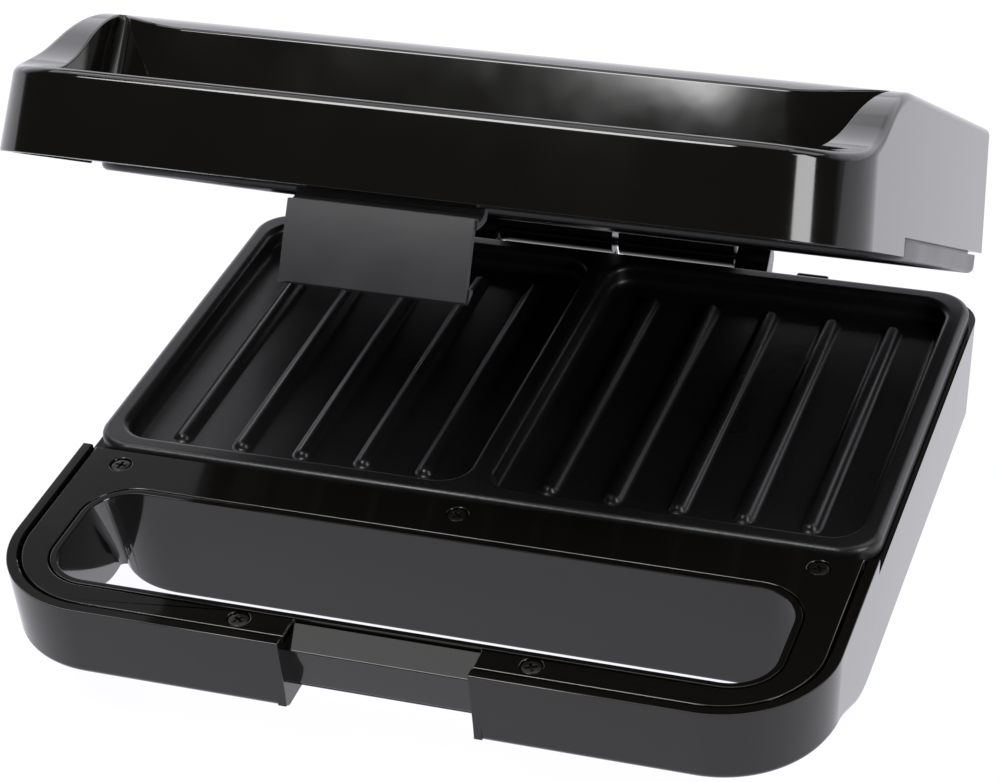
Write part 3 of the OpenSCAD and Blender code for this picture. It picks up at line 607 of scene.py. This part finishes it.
# Sprayed and baked PTFE over a blasted casting: satin black, a soft sheen broken by the spray's
# grain, with pale mineral flecks finer than 0.3 mm.
nonstick.use_nodes = True
tree = nonstick.node_tree
where = add(tree, "ShaderNodeTexCoord").outputs["Object"]
spray = add(tree, "ShaderNodeTexNoise", {"Scale": 900, "Detail": 4, "Roughness": 0.65},
            Vector=where)
cloud = add(tree, "ShaderNodeTexNoise", {"Scale": 22, "Detail": 3}, Vector=where)
fleck = add(tree, "ShaderNodeTexVoronoi", {"Scale": 700}, Vector=where)
tone = add(tree, "ShaderNodeValToRGB", Fac=fleck.outputs["Distance"])
tone.color_ramp.elements[0].position, tone.color_ramp.elements[1].position = 0.12, 0.2
tone.color_ramp.elements[0].color = linear("#2c2c2d")
tone.color_ramp.elements[1].color = linear("#141415")
satin = add(tree, "ShaderNodeMapRange", {"From Min": 0.3, "From Max": 0.7, "To Min": 0.26,
                                         "To Max": 0.38}, Value=cloud.outputs["Fac"])
grain = add(tree, "ShaderNodeBump", {"Strength": 0.16, "Distance": 0.0002},
            Height=spray.outputs["Fac"])
shader = tree.nodes["Principled BSDF"]
shader.inputs["IOR"].default_value = 1.42
tree.links.new(tone.outputs["Color"], shader.inputs["Base Color"])
tree.links.new(satin.outputs["Result"], shader.inputs["Roughness"])
tree.links.new(grain.outputs["Normal"], shader.inputs["Normal"])

for half, proud, matrix in (("base", 0.5 * mm, Matrix.Translation((0, 0, rim_z))),
                            ("lid", 1.3 * mm, lid_place @ Matrix.Rotation(pi, 4, "Y"))):
    plate = hot_plate(half + "_plate_casting", proud)
    place(plate, matrix)
    smooth(plate)
    finish(plate, nonstick, half, "plate_coating", half + "_plate")

# ---------------------------------------------------------------------------
# Handle covers. Flat gloss-black ABS plates, 2.4 mm thick, that close the
# hollow bars and arms round the hand holes; a fine groove runs all round.
# ---------------------------------------------------------------------------
screw_places = [(x, front + handle_d - 6.9 * mm) for x in (-103.7 * mm, 0, 103.7 * mm)]
screw_places += [(x, front + 8.6 * mm) for x in (-41.5 * mm, 41.5 * mm)]
cover_in, lip_out = 4.2 * mm, 2.5 * mm


def handle_cover(name):
    """A cover lying in its shell, its visible face down at 0.5 mm over the rim plane."""
    cover = block(name, body_w / 2 - cover_in, front + cover_in, front + handle_d - 0.3 * mm,
                  0.5 * mm, (front_r - cover_in, 0), [(0, 2.4 * mm)])
    cut(cover, block("hand_hole", hole_w / 2 + lip_out, hole_y0 - lip_out, hole_y1 + lip_out, -mm,
                     (hole_r + lip_out, hole_r + lip_out), [(0, 8 * mm)], 14))
    cut(cover, block("latch_gap", notch_w / 2, front - mm, front + 12.2 * mm, -mm, (0, mm),
                     [(0, 8 * mm)], 5))
    for x, y in screw_places:
        cut(cover, rod("recess", 3.2 * mm, (x, y, -mm), (x, y, 2.09 * mm)))
    soften(cover, 0.4 * mm, 4, lambda p: p.z < 0.55 * mm)
    return cover


for half, matrix in (("base", base_place), ("lid", lid_place)):
    cover = handle_cover(half + "_cover_moulding")
    place(cover, matrix)
    smooth(cover)
    finish(cover, gloss_black, half, "cover_plastic", half + "_handle_cover")

# ---------------------------------------------------------------------------
# Cover screws. Blackened self-tapping screws with flat round heads and a
# cross recess, five in each half, sunk a little below the cover's face.
# ---------------------------------------------------------------------------
blackened = bpy.data.materials.new("blackened_steel")
# Steel with a black oxide finish: dark, half shiny, a little browner where the driver has turned.
blackened.use_nodes = True
tree = blackened.node_tree
where = add(tree, "ShaderNodeTexCoord").outputs["Object"]
oxide = add(tree, "ShaderNodeTexNoise", {"Scale": 700, "Detail": 4, "Roughness": 0.6}, Vector=where)
tone = add(tree, "ShaderNodeValToRGB", Fac=oxide.outputs["Fac"])
tone.color_ramp.elements[0].color = linear("#1c1b1a")
tone.color_ramp.elements[1].color = linear("#3d3a37")
polish = add(tree, "ShaderNodeMapRange", {"To Min": 0.22, "To Max": 0.42},
             Value=oxide.outputs["Fac"])
shader = tree.nodes["Principled BSDF"]
shader.inputs["Metallic"].default_value = 0.85
tree.links.new(tone.outputs["Color"], shader.inputs["Base Color"])
tree.links.new(polish.outputs["Result"], shader.inputs["Roughness"])

head = lathe("cover_screw", [(0, -9), (0.5, -9), (1.25, -8), (1.25, 0), (2.9, 0)]
             + bend((2.5, 0.9), 0.4, 0, 60, 3) + [(1.6, 1.38), (0, 1.4)], 32)
for quarter in (0, 90):
    slot = block("cross", 1.75 * mm, -0.42 * mm, 0.42 * mm, 1.6 * mm, (0, 0),
                 [(0.14 * mm, -1.1 * mm)])
    place(slot, Matrix.Rotation(radians(quarter), 4, "Z"))
    cut(head, slot)
soften(head, 0.07 * mm, 2, lambda p: p.z > 0.4 * mm and p.xy.length < 2 * mm)
smooth(head)
seated = [Matrix.Translation((x, y, 2.09 * mm)) @ Matrix.Rotation(pi, 4, "X")
          @ Matrix.Rotation(radians(23 + 31 * k), 4, "Z") for k, (x, y) in enumerate(screw_places)]
ten = copies(head, [base_place @ m for m in seated] + [lid_place @ m for m in seated])
for half, five in (("base", ten[:5]), ("lid", ten[5:])):
    screws = join(half + "_screws", five)
    finish(screws, blackened, half, "black_screws", half + "_cover_screws")

# ---------------------------------------------------------------------------
# Hinge lugs. Two moulded eyes on the base's rear wall, outside the lid's two
# long barrels, with the steel pin through all four.
# ---------------------------------------------------------------------------
eye, lug_pitch = (5.1, -1.9), 90.2 * mm
lug = profile_bar("hinge_lug", 39.75 * mm, 50.45 * mm,
                  [(-0.98, -17.2), (-0.26, -5.15), (-1.6, -5.15), (-1.6, -3.4)]
                  + bend(eye, 3.8, 90, -25.5, 14), (rear, rim_z))
smooth(lug, 0.35 * mm)
lug_places = [Matrix.Identity(4), Matrix.Translation((-lug_pitch, 0, 0))]
lugs = join("hinge_lug_mouldings", copies(lug, lug_places))
finish(lugs, gloss_black, "base", "shell_plastic", "hinge_lugs")

# ---------------------------------------------------------------------------
# Lid shell. The same moulding as the base, with a longer, gentler S-curve, two
# holes for the lamps, two hinge barrels with stop lips, and ears for the latch.
# ---------------------------------------------------------------------------
lid_shell = half_shell("lid_shell_moulding", 23 * mm, 43 * mm,
                       (12 * mm, radians(31), 60 * mm, 60 * mm))
eye = (5.1, -4.1)
lip_dir = Vector((cos(radians(-38)), sin(radians(-38))))
lip_side = Vector((sin(radians(38)), cos(radians(38))))
lip_tip = [tuple(Vector(eye) + 6.6 * lip_dir + s * 0.8 * lip_side) for s in (-1, 1)]
barrel = bend(eye, 3.8, 180, 309.8, 14) + lip_tip + bend(eye, 3.8, -25.8, 0, 4)
barrel += [(7.38, 5.2), (-1.03, 17.2), (-2.63, 17.2), (-1.91, 5.2)]
for x0 in (-39.05 * mm, 1.05 * mm):
    knuckle = profile_bar("barrel", x0, x0 + 38 * mm, barrel, (rear, 0))
    soften(knuckle, 0.35 * mm, 2, lambda p: p.y > rear + 0.5 * mm)
    cut(lid_shell, knuckle, "UNION")
for x0 in (-26.3 * mm, 23.9 * mm):
    ear = profile_bar("ear", x0, x0 + 2.4 * mm,
                      [(1.5, 1.2), (11, 1.2), (11, 21.6), (1.5, 21.6)], (front, 0))
    cut(lid_shell, ear, "UNION")
lens_y = front + handle_d + 20.8 * mm
for x in (-11 * mm, 11 * mm):
    cut(lid_shell, rod("lamp_hole", 4.1 * mm, (x, lens_y, 30 * mm), (x, lens_y, 50 * mm), 48))
place(lid_shell, lid_place)
smooth(lid_shell)
finish(lid_shell, gloss_black, "lid", "shell_plastic", "lid_shell")

# ---------------------------------------------------------------------------
# Lamps' lenses. Tinted polycarbonate with a low dome, red for power and green
# for ready, pressed into the lid from inside.
# ---------------------------------------------------------------------------
dome = [(8 * sin(radians(a)), 36.2 + 8 * cos(radians(a))) for a in (30, 26, 21, 16, 10, 5, 0)]
lens = lathe("lamp_lens", [(0, 39.6), (3.7, 39.6), (4, 39.9), (4, 43)] + dome)
smooth(lens)
lens_places = [lid_place @ Matrix.Translation((x, lens_y, 0)) for x in (-11 * mm, 11 * mm)]
for piece, name, dark, bright in zip(copies(lens, lens_places), ("power", "ready"),
                                     ("#8f0d08", "#0d6b22"), ("#e0301c", "#39c257")):
    tint = bpy.data.materials.new(name + "_lamp_polycarbonate")
    # Clear tinted polycarbonate, polished dome, a little deeper in colour towards the rim.
    tint.use_nodes = True
    tree = tint.node_tree
    view = add(tree, "ShaderNodeLayerWeight", {"Blend": 0.35})
    depth = add(tree, "ShaderNodeValToRGB", Fac=view.outputs["Facing"])
    depth.color_ramp.elements[0].color = linear(bright)
    depth.color_ramp.elements[1].color = linear(dark)
    shader = tree.nodes["Principled BSDF"]
    shader.inputs["Transmission Weight"].default_value = 0.55
    shader.inputs["IOR"].default_value = 1.58
    shader.inputs["Roughness"].default_value = 0.08
    tree.links.new(depth.outputs["Color"], shader.inputs["Base Color"])
    piece.name = piece.data.name = name + "_lens_moulding"
    finish(piece, tint, "lid", ("red_lens" if name == "power" else "green_lens"), name + "_lens")

# ---------------------------------------------------------------------------
# Latch. A satin black clip that swings on a steel pin inside the lid's bar: a
# flat plate in front, a thin curved neck and a tooth that snaps under the base.
# ---------------------------------------------------------------------------
satin_black = bpy.data.materials.new("satin_black_abs")
# ABS from a spark-eroded mould: an even fine grain that scatters light into a soft grey sheen.
satin_black.use_nodes = True
tree = satin_black.node_tree
where = add(tree, "ShaderNodeTexCoord").outputs["Object"]
spark = add(tree, "ShaderNodeTexNoise", {"Scale": 3200, "Detail": 2}, Vector=where)
cloud = add(tree, "ShaderNodeTexNoise", {"Scale": 60, "Detail": 4}, Vector=where)
sheen = add(tree, "ShaderNodeMapRange", {"From Min": 0.3, "From Max": 0.7, "To Min": 0.38,
                                         "To Max": 0.46}, Value=cloud.outputs["Fac"])
grain = add(tree, "ShaderNodeBump", {"Strength": 0.2, "Distance": 0.00006},
            Height=spark.outputs["Fac"])
tone = add(tree, "ShaderNodeValToRGB", Fac=cloud.outputs["Fac"])
tone.color_ramp.elements[0].color = linear("#1d1d1f")
tone.color_ramp.elements[1].color = linear("#252527")
shader = tree.nodes["Principled BSDF"]
shader.inputs["IOR"].default_value = 1.53
tree.links.new(tone.outputs["Color"], shader.inputs["Base Color"])
tree.links.new(sheen.outputs["Result"], shader.inputs["Roughness"])
tree.links.new(grain.outputs["Normal"], shader.inputs["Normal"])

latch_w, latch_top, latch_foot = 51 * mm, -3.1 * mm, -25.05 * mm
edge = 0.5 * mm
bpy.ops.object.select_all(action="DESELECT")
bpy.ops.mesh.primitive_grid_add(x_subdivisions=24, y_subdivisions=12, size=2, location=(0, 0, 0))
latch = bpy.context.object
latch.scale = (latch_w / 2 - edge, (latch_top - latch_foot) / 2 - edge, 1)
bpy.ops.object.transform_apply(location=False, rotation=False, scale=True)
# the plate's front is crowned by a few tenths of a millimetre, as thin mouldings are
for v in latch.data.vertices:
    v.co.z = -0.25 * mm * (v.co.x / latch_w * 2) ** 2
    v.co.z -= 0.35 * mm * (v.co.y / (latch_top - latch_foot) * 2) ** 2
for outward, back in [(b, a) for a, b in arc(edge, 4)][::-1] + [(0, 1.6 * mm)]:
    pick(latch, "edges", lambda e: e.is_boundary)
    bpy.ops.mesh.extrude_edges_move()
    mesh = bmesh.from_edit_mesh(latch.data)
    for v in [v for v in mesh.verts if v.select]:
        far_x, far_y = abs(abs(v.co.x) - max(abs(w.co.x) for w in mesh.verts)) < 1e-6, \
            abs(abs(v.co.y) - max(abs(w.co.y) for w in mesh.verts)) < 1e-6
        v.co.x += outward * far_x * (1 if v.co.x > 0 else -1)
        v.co.y += outward * far_y * (1 if v.co.y > 0 else -1)
        v.co.z -= back
    bmesh.update_edit_mesh(latch.data)
    done()
pick(latch, "edges", lambda e: e.is_boundary)
bpy.ops.mesh.edge_face_add()
bpy.ops.mesh.select_all(action="SELECT")
bpy.ops.mesh.normals_make_consistent(inside=False)
done()
place(latch, Matrix.Translation((0, front - 0.3 * mm, (latch_top + latch_foot) / 2))
      @ Matrix.Rotation(radians(90), 4, "X"))
# curved neck with shoulders, its barrel, and the tooth
throat = [(8.8, -3.6), (6.6, -4.9), (4, -5.8), (1.8, -6.4),
          (1.8, -3.4), (3.3, -4.15), (5.4, -2.9), (6.3, -2)]
neck = profile_bar("latch_neck", -23.2 * mm, 23.2 * mm,
                   bend((7.6, 3.5), 2.6, 0, 240, 20) + throat[::-1], (front, 0))
shoulders = profile_bar("shoulders", -latch_w / 2, latch_w / 2,
                        [(6.3, -0.5), (9.35, -0.5)] + throat, (front, 0))
cut(neck, shoulders, "UNION")
cut(neck, rod("pin_bore", 1.25 * mm, (-30 * mm, front + 7.6 * mm, 3.5 * mm),
              (30 * mm, front + 7.6 * mm, 3.5 * mm), 32))
soften(neck, 0.3 * mm, 2, lambda p: abs(p.x) > 23 * mm, 30)
tooth = profile_bar("latch_tooth", -latch_w / 2, latch_w / 2,
                    [(1.7, -25.05), (4.35, -22.35), (4.35, -21.15), (1.7, -21.15)], (front, 0))
soften(tooth, 0.25 * mm, 2, lambda p: p.y > front + 2 * mm, 30)
for piece in (latch, neck, tooth):
    smooth(piece)
latch = join("latch_moulding", [latch, neck, tooth])
place(latch, lid_place)
finish(latch, satin_black, "latch", "latch_plastic", "latch")

# ---------------------------------------------------------------------------
# Pins, heaters, clamps and trays. The CAD pieces as they are: drawn wire pins,
# steel-sheathed heating elements bent to a U, zinc-plated clamps and screws,
# and trays pressed from aluminised sheet.
# ---------------------------------------------------------------------------


def bare_steel(name, dark, bright, rough, along, across, depth):
    """Steel whose streaks, at these numbers to the metre, follow the rolls or the drawing die."""
    steel = bpy.data.materials.new(name)
    steel.use_nodes = True
    tree = steel.node_tree
    place_in = add(tree, "ShaderNodeTexCoord").outputs["Object"]
    drawn = add(tree, "ShaderNodeMapping", {"Scale": (along, across, across)}, Vector=place_in)
    streak = add(tree, "ShaderNodeTexNoise", {"Scale": 1, "Detail": 5, "Roughness": 0.65},
                 Vector=drawn.outputs["Vector"])
    tone = add(tree, "ShaderNodeValToRGB", Fac=streak.outputs["Fac"])
    tone.color_ramp.elements[0].position, tone.color_ramp.elements[1].position = 0.3, 0.7
    tone.color_ramp.elements[0].color = linear(dark)
    tone.color_ramp.elements[1].color = linear(bright)
    polish = add(tree, "ShaderNodeMapRange", {"To Min": rough - 0.08, "To Max": rough + 0.1},
                 Value=streak.outputs["Fac"])
    scratch = add(tree, "ShaderNodeBump", {"Strength": 0.2, "Distance": depth},
                  Height=streak.outputs["Fac"])
    shader = tree.nodes["Principled BSDF"]
    shader.inputs["Metallic"].default_value = 1
    tree.links.new(tone.outputs["Color"], shader.inputs["Base Color"])
    tree.links.new(polish.outputs["Result"], shader.inputs["Roughness"])
    tree.links.new(scratch.outputs["Normal"], shader.inputs["Normal"])
    return steel


wire = bare_steel("drawn_steel_wire", "#8d8d8f", "#b9b9bb", 0.26, 60, 1800, 0.00002)
# Annealed sheath: drawn tube that the heat has turned a warm olive grey.
sheath = bare_steel("annealed_steel_sheath", "#57524a", "#7d776c", 0.42, 120, 900, 0.00002)
# Zinc plate: bluish and even, with a fine rolled grain.
zinc = bare_steel("zinc_plated_steel", "#9ea3a8", "#c4c8cc", 0.34, 300, 1600, 0.00001)
# Aluminised sheet: pale, with wide soft rolling streaks.
aluminised = bare_steel("aluminised_sheet_steel", "#a9aaab", "#cfd0d1", 0.4, 40, 420, 0.00002)
for steel, nodes in ((wire, ("hinge_pin", "latch_pin")),
                     (sheath, ("base_heater", "lid_heater")),
                     (zinc, ("base_heater_clamps", "lid_heater_clamps", "base_tray_screws",
                             "lid_tray_screws")),
                     (aluminised, ("base_tray", "lid_tray"))):
    for name in nodes:
        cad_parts[name].data.materials.clear()
        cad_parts[name].data.materials.append(steel)

# ---------------------------------------------------------------------------
# Electrics. A thermal fuse in a woven glass sleeve on the base's tray, a nylon
# terminal block and lamp holder, and a phenolic thermostat on the lid's tray.
# ---------------------------------------------------------------------------
sleeving = bpy.data.materials.new("woven_glass_sleeve")
# Braided glass yarn, varnished: off-white, matte, two sets of 0.5 mm yarns crossing.
sleeving.use_nodes = True
tree = sleeving.node_tree
where = add(tree, "ShaderNodeTexCoord").outputs["Object"]
yarns = []
for lay in (45, -45):
    turned = add(tree, "ShaderNodeMapping", {"Rotation": (0, 0, radians(lay))}, Vector=where)
    yarns.append(add(tree, "ShaderNodeTexWave", {"Scale": 320, "Distortion": 0.4},
                     Vector=turned.outputs["Vector"]).outputs["Fac"])
cross = add(tree, "ShaderNodeMath", {"operation": "MAXIMUM"})
for socket, yarn in zip(cross.inputs, yarns):
    tree.links.new(yarn, socket)
tone = add(tree, "ShaderNodeValToRGB", Fac=cross.outputs["Value"])
tone.color_ramp.elements[0].color = linear("#a89a80")
tone.color_ramp.elements[1].color = linear("#d9cfb8")
braid = add(tree, "ShaderNodeBump", {"Strength": 0.6, "Distance": 0.0002},
            Height=cross.outputs["Value"])
shader = tree.nodes["Principled BSDF"]
shader.inputs["Roughness"].default_value = 0.75
tree.links.new(tone.outputs["Color"], shader.inputs["Base Color"])
tree.links.new(braid.outputs["Normal"], shader.inputs["Normal"])


def moulded(name, dark, bright, rough, cloudy):
    """A matte moulding with faint flow clouds, their size given to the metre."""
    plastic = bpy.data.materials.new(name)
    plastic.use_nodes = True
    tree = plastic.node_tree
    place_in = add(tree, "ShaderNodeTexCoord").outputs["Object"]
    flow = add(tree, "ShaderNodeTexNoise", {"Scale": cloudy, "Detail": 4}, Vector=place_in)
    tone = add(tree, "ShaderNodeValToRGB", Fac=flow.outputs["Fac"])
    tone.color_ramp.elements[0].color = linear(dark)
    tone.color_ramp.elements[1].color = linear(bright)
    dull = add(tree, "ShaderNodeMapRange", {"To Min": rough - 0.06, "To Max": rough + 0.1},
               Value=flow.outputs["Fac"])
    skin = add(tree, "ShaderNodeTexNoise", {"Scale": 2200, "Detail": 2}, Vector=place_in)
    grain = add(tree, "ShaderNodeBump", {"Strength": 0.15, "Distance": 0.0001},
                Height=skin.outputs["Fac"])
    shader = tree.nodes["Principled BSDF"]
    shader.inputs["IOR"].default_value = 1.53
    tree.links.new(tone.outputs["Color"], shader.inputs["Base Color"])
    tree.links.new(dull.outputs["Result"], shader.inputs["Roughness"])
    tree.links.new(grain.outputs["Normal"], shader.inputs["Normal"])
    return plastic


# Unfilled nylon: milky ivory and a little waxy. Phenolic: yellowish brown, mineral filled.
nylon = moulded("natural_nylon", "#d8d3c2", "#e9e5d8", 0.42, 140)
phenolic = moulded("mineral_filled_phenolic", "#b9a987", "#cbbd9d", 0.5, 400)
for material, nodes in ((sleeving, ("thermal_fuse",)), (nylon, ("terminal_block", "lamp_holder")),
                        (phenolic, ("thermostat",))):
    for name in nodes:
        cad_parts[name].data.materials.clear()
        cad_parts[name].data.materials.append(material)
